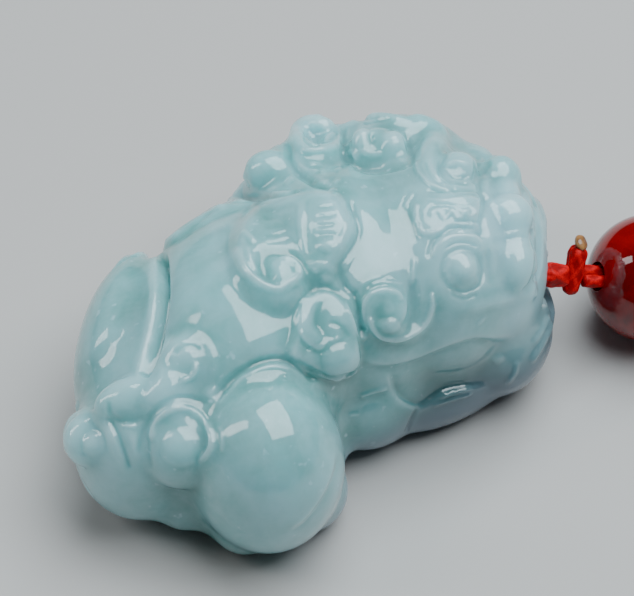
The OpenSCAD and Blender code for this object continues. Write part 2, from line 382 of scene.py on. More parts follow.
# The carving's body forms: name, centre, radii, turn about Z, in millimetres
bodyForms = [
    ("torso", (-5.2, 0.8, 8.4), (11, 8.8, 8.4), 18),
    ("belly", (-2.6, 0.4, 3), (12, 6.2, 4), 4),
    ("shoulder", (2.5, 0.4, 8.8), (8.8, 9.2, 8.6), -5),
    ("farShoulder", (4.2, 7.4, 9.2), (5, 5, 6.2), -10),
    ("head", (9, -1.8, 9.2), (7.4, 8.8, 8), -35),
    ("farMane", (11.5, 5.9, 9), (6, 4.6, 5.8), -30),
    ("farCheek", (14.2, 1.6, 8.2), (4.4, 4.4, 5.9), -35),
    ("muzzle", (13.2, -4, 8.5), (4, 6.9, 6.5), -35),
    ("jaw", (11.8, -6.2, 4.4), (4.2, 5.6, 4.6), -35),
    ("nearPaw", (6.4, -7.8, 3.2), (6.2, 2.6, 3.4), -5),
    ("nearElbow", (0.8, -6.2, 4.2), (4.6, 3.4, 4.4), 0),
    ("farPaw", (12, 6.4, 3.2), (5.4, 2.6, 3.4), -30),
    ("farElbow", (3.6, 8, 4), (4.6, 3.4, 4.2), 0),
    ("nearHaunch", (-10.2, -8.4, 7), (5.6, 6, 7.2), -30),
    ("nearHeel", (-12.6, -8.4, 3.2), (2.6, 3.2, 3.6), 0),
    ("nearAnkle", (-14.9, -5.1, 3.4), (2.6, 2.4, 3.2), 0),
    ("nearHindFoot", (-7.6, -8.9, 2.6), (3.4, 3.6, 3), 0),
    ("farHaunch", (-12.8, 5.8, 7), (7.4, 3.4, 6.4), 42),
    ("farHindFoot", (-8.6, 8, 2.8), (3.6, 2.8, 3), 40),
    ("rump", (-16.4, -1.5, 6.2), (4.8, 4.8, 6.2), 0),
    ("tailRoot", (-13.8, -1.9, 9), (4.5, 3.8, 5.5), 0),
    ("farCurlBoss", (7.4, 10.3, 11.2), (2.4, 2.2, 2.6), 0),
    ("tailCurlBoss", (-19.3, 0.2, 7.5), (2, 2, 2.3), 0),
]

# Ovals on the near sheet where the forms run into each other: centre, radii, turn, rounds
filedPatches = [((-12.9, -1.2), (2, 5), -8, 150), ((-14.6, -5.6), (3.4, 2.4), 25, 250)]

# Low rounded pads: name, sheet, centre on it, radii (right, up, out), turn, sink
pads = [
    ("middleCurl", "near", (0.6, -1.9), (2.2, 2.4, 1.4), 0, 0.9),
    ("middleCurlFoot", "near", (0.8, -3.8), (2.2, 2, 1.5), 0, 0.95),
    ("cheekCurl", "near", (5.2, -1.1), (1.8, 1.9, 1.3), 0, 0.95),
    ("forehead", "near", (9.7, 6.1), (2.5, 1.6, 1.4), 0, 1.3),
    ("nearEye", "near", (10.6, 2.05), (1.2, 1.2, 1.15), 0, 0.65),
    ("farEye", "near", (10.2, 9.3), (1.5, 1.4, 1.3), 0, 0.85),
    ("farFrontCurl", "near", (4.5, 10.6), (2.3, 1.8, 1.5), 0, 0.35),
    ("farMound", "near", (-3.4, 9.2), (1.9, 1.6, 1.4), 0, 0.7),
    ("noseFar", "near", (13.3, 8.6), (1.6, 1.8, 1.4), 0, 0.75),
    ("noseMiddle", "near", (13.8, 5.9), (1.95, 1.8, 1.6), 0, 0.75),
    ("noseNear", "near", (14.4, 2.3), (1.6, 2.3, 1.6), 0, 0.9),
    ("tailStem", "near", (-13.3, -7.4), (2.9, 1.7, 1.3), 14, 0.95),
    ("tailNearCurl", "near", (-9.7, -10.3), (3.5, 3.5, 2.8), 0, 1.35),
    ("tailFarCurl", "near", (-16.5, -10.3), (1.9, 2, 1.4), 0, 0.8),
    ("tailTopCurl", "near", (-9.4, -4.8), (2.2, 2.2, 1.2), 0, 0.8),
    ("farShoulderCurl", "far", (-4, -2.6), (1.9, 1.8, 1.5), 0, 0.7),
    ("farCheekCurl", "far", (-12.5, -1.8), (1.5, 1.5, 1.4), 0, 0.7),
]

# Raised bands: name, sheet, radius at the start and the end, how deep they lie (in radii), whether the
# start and the end run into the stone, points on the sheet, and for a flat one the spot that it lies
# level with
bands = [
    ("middleCurl", "near", (0.6, 0.5), 0.45, (1, 0), [(3, -3), (2.5, -1.8), (1.7, -0.7), (0.6, -0.2),
        (-0.4, -0.5), (-1.1, -1.5), (-0.9, -2.6), (0, -3.1), (0.9, -2.8)]),
    ("cheekCurl", "near", (0.5, 0.7), 0.5, (1, 0), [(8.2, 0.8), (8.2, -0.7), (7.6, -2), (6.5, -2.6),
        (5.1, -2.6), (4, -1.9), (3.7, -0.7), (4.3, 0.2), (5.3, 0.2), (5.8, -0.6)]),
    ("farBackCurl", "near", (0.65, 0.7), 0.3, (1, 0), [(2, 11.4), (1, 10.7), (-0.3, 10.6), (-1.3, 11.3),
        (-1.3, 12.2), (-0.5, 12.7), (0.6, 12.5)]),
    ("farFrontCurl", "near", (0.8, 1.1), -0.6, (0, 0), [(3.3, 11.6), (3.3, 11), (3.6, 10.5),
        (4.4, 10.3), (5.2, 10.5), (5.5, 11.1)], (4.5, 10.6)),
    ("farCrest", "near", (0.5, 0.6), 0.35, (1, 1), [(2.4, 12.4), (3.2, 12.8), (4.4, 13), (5.8, 12.8),
        (6.8, 12.5)]),
    ("farHorn", "near", (1.45, 0.4), 0.65, (1, 1), [(7.3, 12), (8.3, 11.7), (8.5, 10.9), (8.2, 10),
        (8.1, 9.2), (8.6, 8.4), (9.7, 7.8), (12, 7.6)]),
    ("nearBrow", "near", (0.45, 0.4), 0.6, (1, 1), [(8.6, 2.2), (8.8, 3.4), (9.6, 4.2), (10.7, 4.5),
        (11.8, 4.2), (12.5, 3.4), (12.8, 2.4)]),
    ("noseRidge", "near", (1.3, 1.1), 0.65, (1, 1), [(14.7, 0.6), (14.6, 2.2), (14.3, 4.2), (13.9, 6),
        (13.6, 7.7), (13.2, 9.3)]),
    ("tailNearCurl", "near", (0.5, 0.6), 0.7, (1, 1), [(-12.2, -11.4), (-11.9, -10), (-11.3, -8.9),
        (-10.2, -8.2), (-8.8, -8.5), (-7.8, -9.4), (-7.4, -10.6), (-7.7, -11.8), (-8.5, -12.6)]),
    ("tailFarCurl", "near", (0.5, 0.5), 0.55, (1, 1), [(-13.9, -12.6), (-14.5, -11), (-15, -9.8),
        (-15.7, -8.9), (-16.7, -8.5), (-17.6, -8.9), (-18, -9.9), (-17.9, -11)]),
    ("tailTopCurl", "near", (0.6, 0.5), 0.6, (1, 1), [(-11.5, -4.9), (-11, -3.7), (-10.1, -2.9),
        (-8.8, -2.8), (-7.9, -3.6), (-7.5, -4.8), (-7.5, -6), (-7.1, -7.1)]),
    ("tailStrand", "near", (0.45, 0.35), 0.5, (1, 1), [(-13.8, -9), (-13.3, -10.4), (-12.9, -12)]),
    ("lip", "near", (0.4, 0.45), 0.5, (1, 1), [(10.2, -1), (11.8, -0.5), (13.6, -0.1), (15, 0)]),
    ("farShoulderCurl", "far", (0.5, 0.8), 0.25, (1, 0), [(-0.6, 1.6), (-0.9, -0.4), (-1.1, -2.6),
        (-2.2, -4.3), (-3.8, -4.9), (-5.5, -4.2), (-6.1, -2.7), (-5.6, -1.2), (-4.3, -0.6),
        (-3.1, -1.1), (-2.9, -2.3)]),
    ("farCheekCurl", "far", (0.45, 0.7), 0.25, (1, 0), [(-9.3, 1.8), (-9.5, 0), (-9.9, -2), (-11, -3.4),
        (-12.6, -3.9), (-14, -3), (-14.5, -1.6), (-13.8, -0.3), (-12.5, -0.1), (-11.7, -1.1)]),
    ("farNeckLock", "far", (0.4, 0.65), 0.3, (1, 0), [(-5, 3.4), (-6.2, 2.2), (-7.4, 1.8), (-8, 2.6),
        (-7.4, 3.4)]),
]

# The sides that the relief is drawn from: azimuth and elevation of the carver's eye. The near sheet is
# the photograph's own side, and each eye looks at the same point from the same distance.
sheets = {
    "near": (view["azimuth"], view["elevation"]), "far": (180, 10), "front": (62, 14), "rear": (-100, 18),
    "flank": (-15, 8),
}
sheetCentre = np.array(view["aim"])
eyeDistance = view["distance"]

carving = {
    "sphereSegments": 40, "sphereRings": 20, "bodyVoxel": 0.25, "valleyRound": 1.3, "valleySmoothing": 3,
    "bodySmoothing": 12, "patchDepth": 5, "reliefVoxel": 0.16, "reliefRound": 0.3, "reliefSmoothing": 3,
    "tubeSteps": 5, "tubeSides": 3, "dive": 0.25, "diveDepth": 1.1, "strokeSteps": 4, "stepBlend": 0.22,
    "domePower": 0.8, "leastFacing": 0.1, "facingFade": 0.2, "clearance": 0.25, "polish": 1,
    "triangles": 190000, "hollowRounds": 40, "hollowDepth": 0.16,
}


def onPlane(co, sheet):
    # Where points are on a sheet, as its eye sees them
    right, up, out = sheetAxes(*sheets[sheet])
    flat = co - sheetCentre
    scale = eyeDistance / (eyeDistance - flat @ out)
    return np.stack([flat @ right * scale, flat @ up * scale], 1)


class Stone:
    # The surface that relief is laid on and cut into, seen along lines from a sheet's eye
    def __init__(self, piece):
        self.piece = piece
        self.co = corners(piece.data) / mm
        faces = [tuple(f.vertices) for f in piece.data.polygons]
        self.tree = BVHTree.FromPolygons([tuple(p) for p in self.co], faces)
        self.normals = cornerNormals(piece.data)
        self.lift = np.zeros(len(self.co))
        self.seen = {}

    def under(self, sheet, u, v):
        right, up, out = sheetAxes(*sheets[sheet])
        eye = sheetCentre + out * eyeDistance
        way = sheetCentre + right * u + up * v - eye
        way /= np.linalg.norm(way)
        spot = self.tree.ray_cast(Vector(eye), Vector(way))[0]
        if spot is None:
            middle = eye + way * eyeDistance
            spot = self.tree.find_nearest(Vector(middle))[0]
        return np.array(spot), way

    def onSheet(self, sheet):
        # The corners that the sheet's eye sees, where they are on the sheet, and how far they face the eye
        if sheet in self.seen:
            return self.seen[sheet]
        rays = sheetCentre + sheetAxes(*sheets[sheet])[2] * eyeDistance - self.co
        rays /= np.linalg.norm(rays, axis=1, keepdims=True)
        facing = (self.normals * rays).sum(1)
        index = np.flatnonzero(facing > carving["leastFacing"])
        starts = self.co[index] + self.normals[index] * carving["clearance"]
        clear = [self.tree.ray_cast(Vector(s), Vector(r))[0] is None for s, r in zip(starts, rays[index])]
        index = index[np.array(clear)]
        spots = onPlane(self.co[index], sheet)
        weight = np.clip((facing[index] - carving["leastFacing"]) / carving["facingFade"], 0, 1)
        if sheet != "near":
            # The near sheet's side is finished from there alone
            nearIndex, _, nearWeight = self.onSheet("near")
            shown = np.zeros(len(self.co))
            shown[nearIndex] = nearWeight
            weight = weight * np.clip(1 - 2 * shown[index], 0, 1)
        self.seen[sheet] = index, spots, weight
        return self.seen[sheet]

    def cut(self, sheet, row):
        kind, width, height, points = row
        index, spots, weight = self.onSheet(sheet)
        if kind == "dome":
            lift = domeLift(spots, points[0], width)
        else:
            lift = strokeLift(kind, spots, points, width)
        self.lift[index] += lift * weight * height

    def finish(self):
        setCorners(self.piece.data, (self.co + self.normals * self.lift[:, None]) * mm)


def domeLift(spots, centre, radii):
    away = (spots - np.array(centre)) / np.array(radii)
    return np.clip(1 - (away ** 2).sum(1), 0, 1) ** carving["domePower"]


def ringPoints(u, v, radius, count=8):
    turns = [2 * math.pi * (k % count) / count for k in range(count + 1)]
    return [(u + radius * math.cos(a), v + radius * math.sin(a)) for a in turns]


def strokeLift(kind, spots, points, width):
    # How much each spot is moved by a stroke along the points, from -1 to 1
    closed = points[0] == points[-1]
    route = smoothPath(points, carving["strokeSteps"])
    low, high = route.min(0) - width, route.max(0) + width
    near = np.flatnonzero(((spots > low) & (spots < high)).all(1))
    lift = np.zeros(len(spots))
    if not len(near):
        return lift
    p = spots[near]
    best = np.full(len(p), 1e9)
    side, along = np.zeros(len(p)), np.zeros(len(p))
    run, inside = 0.0, np.zeros(len(p), bool)
    for a, b in zip(route[:-1], route[1:]):
        way = b - a
        length = max(np.linalg.norm(way), 1e-6)
        away = p - a
        t = np.clip(away @ way / length ** 2, 0, 1)
        d = np.linalg.norm(away - t[:, None] * way, axis=1)
        closer = d < best
        best = np.where(closer, d, best)
        side = np.where(closer, np.sign(way[0] * away[:, 1] - way[1] * away[:, 0]), side)
        along = np.where(closer, run + t * length, along)
        run += length
        crosses = (a[1] > p[:, 1]) != (b[1] > p[:, 1])
        rise = way[1] if abs(way[1]) > 1e-9 else 1e-9
        inside ^= crosses & (p[:, 0] < a[0] + (p[:, 1] - a[1]) * way[0] / rise)
    x = np.clip(best / width, 0, 1)
    if kind == "plate":
        deep = np.where(inside, 0.5 + best / width / 2, 0.5 - best / width / 2)
        deep = np.clip(deep, 0, 1)
        lift[near] = deep * deep * (3 - 2 * deep)
        return lift
    if kind == "step":
        shape = side * np.clip(best / carving["stepBlend"], 0, 1) * (1 - x) ** 2 / 2
    else:
        shape = (1 - x * x) ** 2
    if not closed:
        fade = min(width * 1.5, run / 3)
        ends = np.clip(np.minimum(along, run - along) / fade, 0, 1)
        shape = shape * ends * (2 - ends)
    lift[near] = shape
    return lift


def swell(piece, reach):
    # Every corner moved along its normal, in millimetres
    setCorners(piece.data, corners(piece.data) + cornerNormals(piece.data) * reach * mm)


def roundValleys(piece, reach, voxel, smoothing):
    # Swelling and shrinking again rounds the valleys between the forms and leaves the rest as it is
    for way in (reach, -reach):
        applyModifier(piece, "REMESH", mode="VOXEL", voxel_size=voxel * mm)
        applyModifier(piece, "SMOOTH", factor=0.5, iterations=carving["valleySmoothing"])
        swell(piece, way)
    applyModifier(piece, "REMESH", mode="VOXEL", voxel_size=voxel * mm)
    applyModifier(piece, "SMOOTH", factor=0.5, iterations=smoothing)


def netOf(mesh):
    # Each corner's neighbours, as two lists of corners, and how many it has
    edges = np.empty(len(mesh.edges) * 2, np.int32)
    mesh.edges.foreach_get("vertices", edges)
    a, b = edges.reshape(-1, 2).T
    ends, others = np.concatenate([a, b]), np.concatenate([b, a])
    return ends, others, np.bincount(ends, minlength=len(mesh.vertices))[:, None]


def averaged(co, net):
    ends, others, count = net
    return np.stack([np.bincount(ends, co[others, k], len(co)) for k in range(3)], 1) / count


def filePatches(piece):
    # Evens out the folds between forms inside ovals on the near sheet, as a file does
    net = netOf(piece.data)
    out = sheetAxes(*sheets["near"])[2]
    for centre, radii, turn, rounds in filedPatches:
        co = corners(piece.data) / mm
        spot = Stone(piece).under("near", *centre)[0]
        u, v = (onPlane(co, "near") - centre).T
        a = math.radians(turn)
        away = ((u * math.cos(a) + v * math.sin(a)) / radii[0]) ** 2
        away += ((v * math.cos(a) - u * math.sin(a)) / radii[1]) ** 2
        weight = np.clip(1 - away, 0, 0.5) * 2
        weight[(co - spot) @ out < -carving["patchDepth"]] = 0
        for _ in range(rounds):
            co += weight[:, None] * (averaged(co, net) - co) / 2
        setCorners(piece.data, co * mm)


def addBodyForms():
    made = []
    for name, centre, radii, turn in bodyForms:
        bpy.ops.mesh.primitive_uv_sphere_add(
            segments=carving["sphereSegments"], ring_count=carving["sphereRings"], radius=mm,
            location=Vector(centre) * mm, rotation=(0, 0, math.radians(turn)), scale=radii)
        made.append(settle(bpy.context.active_object))
    body = joined(made, "carvedBeast")
    roundValleys(body, carving["valleyRound"], carving["bodyVoxel"], carving["bodySmoothing"])
    filePatches(body)
    return body


def addPad(stone, row):
    sheet, centre, radii, turn, sink = row[1:]
    spot, way = stone.under(sheet, *centre)
    right, up, out = sheetAxes(*sheets[sheet])
    bpy.ops.mesh.primitive_uv_sphere_add(segments=32, ring_count=16, radius=mm)
    pad = bpy.context.active_object
    turnIn = Matrix.Rotation(math.radians(turn), 4, "Z")
    size = Matrix.Diagonal(Vector(radii).to_4d())
    place = Matrix((right, up, out)).transposed().to_4x4()
    place.translation = Vector((spot + way * sink) * mm)
    pad.matrix_world = place @ turnIn @ size
    return settle(pad)


def addBand(stone, row):
    name, sheet, (start, end), sink, dives, points, *flatSpot = row
    right, up, out = sheetAxes(*sheets[sheet])
    route = smoothPath(points, carving["tubeSteps"])
    radii = np.linspace(start, end, len(route))
    along = np.linspace(0, 1, len(route))
    fade = [np.clip(1 - reach / carving["dive"], 0, 1) * runsIn
            for reach, runsIn in zip((along, 1 - along), dives)]
    depths = radii * (sink + (carving["diveDepth"] - sink) * (fade[0] + fade[1]))
    spots = []
    for (u, v), depth in zip(route, depths):
        spot, way = stone.under(sheet, *(flatSpot[0] if flatSpot else (u, v)))
        if flatSpot:
            spot = spot + right * (u - flatSpot[0][0]) + up * (v - flatSpot[0][1])
        spots.append(spot + way * depth)
    data = bpy.data.curves.new(name, "CURVE")
    data.dimensions = "3D"
    data.bevel_depth = mm
    data.bevel_resolution = carving["tubeSides"]
    data.use_fill_caps = True
    spline = data.splines.new("POLY")
    spline.points.add(len(spots) - 1)
    for point, spot, radius in zip(spline.points, spots, radii):
        point.co = (*(spot * mm), 1)
        point.radius = radius
    band = bpy.data.objects.new(name, data)
    bpy.context.scene.collection.objects.link(band)
    pick(band)
    bpy.ops.object.convert(target="MESH")
    tips = [bpy.context.active_object]
    for spot, radius in ((spots[0], start), (spots[-1], end)):
        bpy.ops.mesh.primitive_uv_sphere_add(segments=16, ring_count=8, radius=radius * mm,
                                             location=Vector(spot) * mm)
        tips.append(settle(bpy.context.active_object))
    return joined(tips, name)


body = addBodyForms()
stone = Stone(body)
print("body forms joined:", len(body.data.vertices))
relief = [addPad(stone, row) for row in pads] + [addBand(stone, row) for row in bands]
beast = joined([body] + relief, "carvedBeast")
roundValleys(beast, carving["reliefRound"], carving["reliefVoxel"], carving["reliefSmoothing"])
print("relief joined:", len(beast.data.vertices))

# Cuts: kind, half width (a dome's radii), height, points on the sheet (a dome's centre). A line is a
# soft groove or ridge, a step lifts its way's left side and lowers its right side, and a plate lifts
# all that is inside its outline.
tailCuts = [
    ("dome", (1.9, 1.9), -0.12, [(-9.7, -10.2)]),
    ("dome", (1.5, 1.5), 0.3, [(-9.9, -10.9)]),
    ("line", 0.35, 0.25, [(-12, -10.4), (-11.8, -9.2), (-11, -8.3), (-9.9, -7.95), (-8.8, -8.3),
        (-8, -9.2), (-7.65, -10.2), (-7.8, -11.1), (-8.6, -11.9)]),
    ("line", 0.25, 0.12, [(-7.05, -9.2), (-6.85, -10.1), (-6.85, -11.2)]),
    ("line", 0.35, -0.12, [(-13, -11.4), (-12.7, -9.8), (-11.9, -8.3), (-10.6, -7.35), (-9.3, -7.2),
        (-8, -7.7)]),
    ("dome", (1.3, 1.4), -0.12, [(-16.5, -10.2)]),
    ("dome", (0.9, 1), 0.35, [(-16.2, -10.6)]),
    ("line", 0.3, -0.2, [(-15.2, -8.6), (-14.7, -9.4), (-14.2, -10.6), (-13.6, -12.4)]),
    ("line", 0.25, 0.2, [(-14, -9.25), (-13.1, -9.3)]),
    ("line", 0.3, -0.12, [(-15.2, -7.4), (-15, -8.3), (-14.4, -8.9), (-13.4, -8.95), (-12.5, -8.7)]),
    ("line", 0.2, -0.12, [(-12.3, -10), (-12.2, -11.2), (-12, -12.4)]),
    ("line", 0.3, 0.24, [(-10, -6), (-9.3, -5.8), (-8.85, -5.3), (-8.8, -4.7)]),
    ("line", 0.3, -0.1, [(-10.4, -4.1), (-9.9, -3.6), (-9.1, -3.5), (-8.5, -3.9)]),
    ("dome", (0.7, 0.6), 0.15, [(-7.6, -6.9)]),
    ("step", 2.2, 0.8, [(-12.9, -6.2), (-12.2, -4), (-11.7, -2), (-11.4, 0), (-11.4, 1.8), (-11.5, 4)]),
    ("line", 0.5, -0.6, [(-11.3, 3.6), (-11.25, 1.8), (-11.25, 0), (-11.5, -2), (-12, -4), (-12.7, -5.7)]),
]
haunchCuts = [
    ("line", 0.5, -0.35, [(-7.4, -7.4), (-6.7, -6.4), (-5.9, -5.6), (-4.9, -4.95), (-3.9, -4.55),
        (-2.9, -4.4), (-1.9, -4.6), (-0.9, -5.2), (-0.1, -6)]),
    ("line", 0.2, 0.1, [(-6.2, -6.3), (-5.2, -5.6), (-4.1, -5.1), (-3, -4.95), (-2, -5.2)]),
    ("step", 1, -0.4, [(1.4, -11.3), (1.2, -12.5), (0.7, -13.8), (0, -15), (-1, -16.2), (-2, -16.9)]),
]
wingCuts = [
    ("plate", 0.8, 0.9, [(-6, 2.9), (-5.9, 4), (-5.3, 5.3), (-4.4, 6.2), (-3.2, 6.9), (-1.7, 7.3),
        (0.6, 7.5), (1.6, 6.9), (2.2, 6), (2.6, 5), (2.5, 4), (2, 3), (1.3, 2.1), (0, 1.6), (-0.8, 1.2),
        (-1, 0.3), (-1.6, -0.4), (-2.8, -0.7), (-4, -0.3), (-4.9, 0.5), (-5.7, 1.6), (-6, 2.9)]),
    ("dome", (1.7, 1.1), 0.3, [(0.4, 1.4)]),
    ("line", 0.7, -0.3, [(-3.6, 3.1), (-4, 2.3), (-3.9, 1.5), (-3.3, 0.9)]),
    ("line", 0.45, -0.25, [(-3.8, 2.9), (-3, 2.75), (-2, 2.65), (-1.2, 2.2), (-0.9, 1.4)]),
    ("dome", (1.15, 1.1), 0.45, [(-2.5, 1.5)]),
    ("line", 0.4, 0.3, [(-5.8, 3.2), (-5.5, 2.2), (-5, 1.3), (-4.1, 0.6), (-3.1, 0.3), (-2.2, 0.6),
        (-1.5, 1.2), (-1.6, 1.8), (-2.2, 2.15), (-3, 2.2)]),
    ("line", 0.25, 0.12, [(-5, 3.2), (-4.8, 2.2), (-4.3, 1.4)]),
    ("line", 0.3, 0.15, [(-5.5, 4.3), (-4.9, 3.9), (-4.5, 3.4)]),
    ("line", 0.8, 0.15, [(-0.85, 6.6), (-0.9, 4.8), (-0.8, 2.8)]),
    ("line", 0.18, -0.08, [(-1.2, 6.2), (-1.25, 4.8), (-1.15, 3)]),
    ("line", 0.18, -0.08, [(-0.5, 6.5), (-0.55, 4.8), (-0.45, 2.8)]),
    ("dome", (0.8, 0.5), 0.2, [(0.9, 3.5)]),
    ("line", 0.25, 0.15, [(2.1, 5.2), (2.1, 4.6), (1.8, 4)]),
]
wingCuts += [("line", 0.2, -0.05, [(-3.9, v - 0.25), (-2.9, v - 0.15), (-1.9, v + 0.2)])
             for v in (6.5, 5.9, 5.3, 4.7, 4.1, 3.6)]
wingCuts += [("line", 0.2, -0.07, [(0.1, v), (1.4, v + 0.1)]) for v in (6.6, 6, 5.4, 4.8, 4.2)]
middleCurlCuts = [
    ("plate", 0.35, 0.4, [(-1.5, -1), (-1, -0.2), (0, 0.35), (1, 0.35), (1.9, -0.3), (2.5, -1.3),
        (2.8, -2.6), (2.9, -3.8), (3, -4.9), (2.2, -5.5), (0.9, -5.75), (-0.5, -5.4), (-1.3, -4.9),
        (-2, -3.9), (-1.7, -2.6), (-1.5, -1)]),
    ("dome", (1.2, 1.3), -0.08, [(0.5, -1.4)]),
    ("line", 0.3, -0.14, [(0.8, -1.75), (1.3, -1.85), (1.8, -2.2), (2.1, -2.9)]),
    ("line", 0.25, 0.14, [(-1.4, -2.3), (-0.8, -3), (-0.1, -3.4), (0.6, -3.1), (1.2, -3), (1.5, -2.6)]),
    ("line", 0.3, -0.06, [(-1.4, -3), (-0.8, -3.6), (0, -3.85), (1, -3.6), (1.8, -3.1)]),
    ("dome", (1.9, 1.2), 0.2, [(0.7, -4.3)]),
    ("line", 0.2, 0.2, [(-2, -3.9), (-1.3, -4.9), (-0.5, -5.4), (0.7, -5.7), (2, -5.6), (2.9, -5.1)]),
    ("line", 0.18, -0.16, [(-0.9, -4.9), (0, -5.35), (1, -5.5), (2.3, -5.25), (2.9, -4.9)]),
    ("line", 0.4, -0.35, [(2.7, 0.5), (3, -0.8), (3.2, -2), (3.4, -2.8)]),
]
cheekCurlCuts = [
    ("line", 0.6, -0.35, [(6.9, 1.4), (7, 0.2), (7, -0.9), (6.7, -1.8), (6.1, -2.2)]),
    ("dome", (0.9, 0.6), 0.25, [(5.2, -2)]),
    ("dome", (0.8, 0.7), 0.15, [(4.9, -0.7)]),
    ("line", 0.25, 0.25, [(8.3, 0.4), (8.4, -0.6), (8, -1.7), (7.2, -2.5), (6, -3), (4.8, -2.9),
        (4.1, -2.3), (3.8, -1.4)]),
    ("line", 0.25, 0.2, [(3.4, -2.3), (3.3, -0.9), (3.8, 0.2), (4.8, 0.6), (5.8, 0.4), (6.2, -0.2)]),
    ("line", 0.2, 0.16, [(2, 0), (2.5, -1.9), (3.2, -3), (3.6, -2.4)]),
]
neckCuts = [
    ("line", 0.5, -0.3, [(2.3, 7), (2.7, 6), (2.95, 5), (2.7, 4), (2.1, 3.1), (1.6, 2.2), (1.8, 1.3),
        (2.3, 0.6), (3, 0.2)]),
    ("line", 0.2, 0.12, [(3, 0.9), (3.8, 1.3), (4.8, 1.6)]),
    ("line", 0.2, 0.12, [(3.9, 0.9), (4.6, 1.15), (5.6, 1.1), (6.2, 0.95)]),
    ("line", 0.5, -0.15, [(7.2, 7.8), (6.6, 7.1), (6.5, 6.3), (7, 5.2), (7.2, 4)]),
    ("line", 0.2, 0.15, [(7, 7.7), (6.5, 7), (6.4, 6.4)]),
    ("line", 0.25, 0.12, [(7, 3), (7, 2), (6.9, 1)]),
    ("dome", (0.55, 0.35), 0.2, [(0.7, 1.3)]),
    ("line", 0.2, 0.12, [(-0.4, 1.75), (0.3, 1.75)]),
]
maneCuts = [
    ("line", 0.4, -0.35, [(-5.6, 7.3), (-3.9, 7.3), (-2.4, 7.15), (-1.2, 7.6)]),
    ("line", 0.2, 0.15, [(-3.4, 7.6), (-1.9, 7.55)]),
    ("line", 0.45, -0.35, [(-2.1, 11.3), (-2, 10.2), (-1.6, 9.4), (-0.9, 8.8), (0.3, 8.1), (1, 7.7)]),
    ("line", 0.3, 0.2, [(-2.4, 8.2), (-1.7, 8.8)]),
    ("dome", (0.9, 0.8), -0.6, [(-0.2, 11.8)]),
    ("line", 0.3, 0.3, [(1.3, 12), (0.9, 11.7), (0.4, 11.5)]),
    ("line", 0.25, 0.15, [(-1.2, 10.8), (0, 10.75), (1.5, 11.1)]),
    ("line", 0.2, 0.14, [(-1.4, 9.8), (-0.8, 9.3), (0.2, 9.15)]),
    ("line", 0.2, 0.12, [(-0.7, 9.8), (0.5, 9.6)]),
    ("line", 0.2, 0.12, [(1.2, 9.2), (1.8, 9.5)]),
    ("line", 0.2, 0.12, [(-0.4, 8.45), (0.9, 8.4)]),
    ("line", 0.2, 0.12, [(1.2, 8.3), (1.7, 8.6)]),
    ("line", 0.2, 0.12, [(0.8, 7.7), (1.5, 7.8)]),
    ("line", 0.4, -0.35, [(1.9, 12.5), (2, 11.5), (2, 10.5), (2.3, 9.5)]),
    ("line", 0.25, 0.1, [(3, 10.7), (3.8, 10.5), (4.8, 10.5)]),
    ("line", 0.3, -0.3, [(3.9, 12.1), (4, 11.6), (4.15, 11.2)]),
    ("dome", (0.7, 0.8), 0.3, [(2.5, 10.1)]),
    ("line", 0.18, -0.14, [(3.2, 12.95), (3.8, 13.05), (4.5, 13.25)]),
    ("line", 0.18, -0.14, [(3.3, 12.6), (4.3, 12.85), (5.4, 13.05)]),
    ("line", 0.4, -0.3, [(2.4, 10.6), (2.6, 9.8), (3.4, 9.4), (4.5, 9.3), (5.6, 9.5), (6.6, 9.7)]),
    ("line", 0.4, -0.25, [(6.4, 12), (6.7, 11.3), (6.8, 10.4), (6.7, 9.5)]),
]
hornCuts = [
    ("line", 0.25, 0.2, [(7.3, 10), (7.4, 9.2), (8, 8.5), (8.8, 8), (9.8, 7.7)]),
    ("line", 0.2, -0.14, [(7.8, 10), (8, 9.3), (8.5, 8.7), (9.2, 8.3)]),
    ("line", 0.3, -0.15, [(9.6, 10.6), (9, 9.9), (8.9, 9.2), (9.3, 8.6), (10, 8.3)]),
    ("line", 0.35, -0.25, [(11.6, 10.2), (11.6, 9.2), (11.3, 8.3)]),
    ("line", 0.2, -0.2, [(9.6, 8.85), (10.4, 8.75), (11.1, 8.75)]),
    ("line", 0.2, -0.18, [(9.9, 8.4), (11, 8.3)]),
    ("line", 0.25, 0.18, [(9.4, 9.6), (10.1, 9.9), (11, 9.7)]),
]
hornCuts += [("line", 0.2, -0.1, [(8, v), (9.2, v - 0.15), (10.3, v), (11.9, v - 0.1)])
             for v in (7.8, 7.4, 7)]
hornCuts += [("line", 0.2, -0.14, [(9.9, v), (11.8, v)]) for v in (5.5, 5.1, 4.75)]
